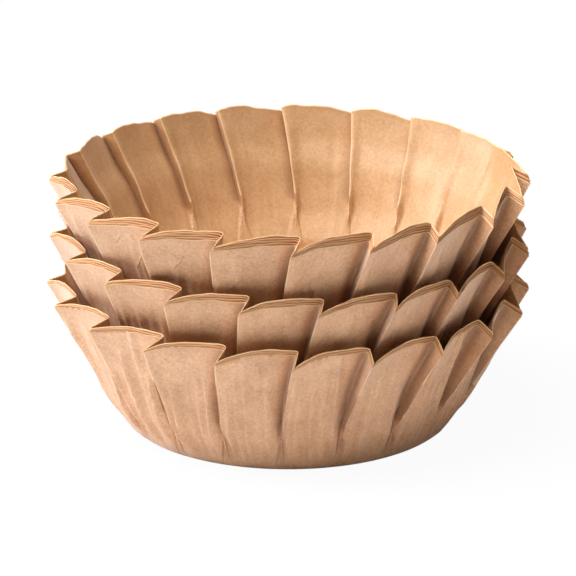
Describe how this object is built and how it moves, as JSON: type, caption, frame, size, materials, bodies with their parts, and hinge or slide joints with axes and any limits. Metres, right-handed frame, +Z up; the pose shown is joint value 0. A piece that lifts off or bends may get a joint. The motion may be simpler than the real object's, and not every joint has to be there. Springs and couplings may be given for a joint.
{
  "type": "stack of paper cake molds",
  "caption": "Nested stack of round brown paper cake molds with one-way knife pleats and flat bases, grouped so that the rims stand apart.",
  "frame": {"origin": "middle of the underside of the lowest mold's flat base, where the stack stands on a table", "axes": "+Z up the stack through the middle of every base; -Y is the side that the picture shows"},
  "size_m": [0.1904, 0.1904, 0.1036],
  "materials": {
    "paper": "matte"
  },
  "bodies": {
    "root": {"bottom_mold_1": "paper", "bottom_mold_2": "paper", "bottom_mold_3": "paper", "middle_mold_1": "paper", "middle_mold_2": "paper", "middle_mold_3": "paper", "middle_mold_4": "paper", "top_mold_1": "paper", "top_mold_2": "paper", "top_mold_3": "paper", "top_mold_4": "paper", "top_mold_5": "paper"}
  },
  "joints": []
}
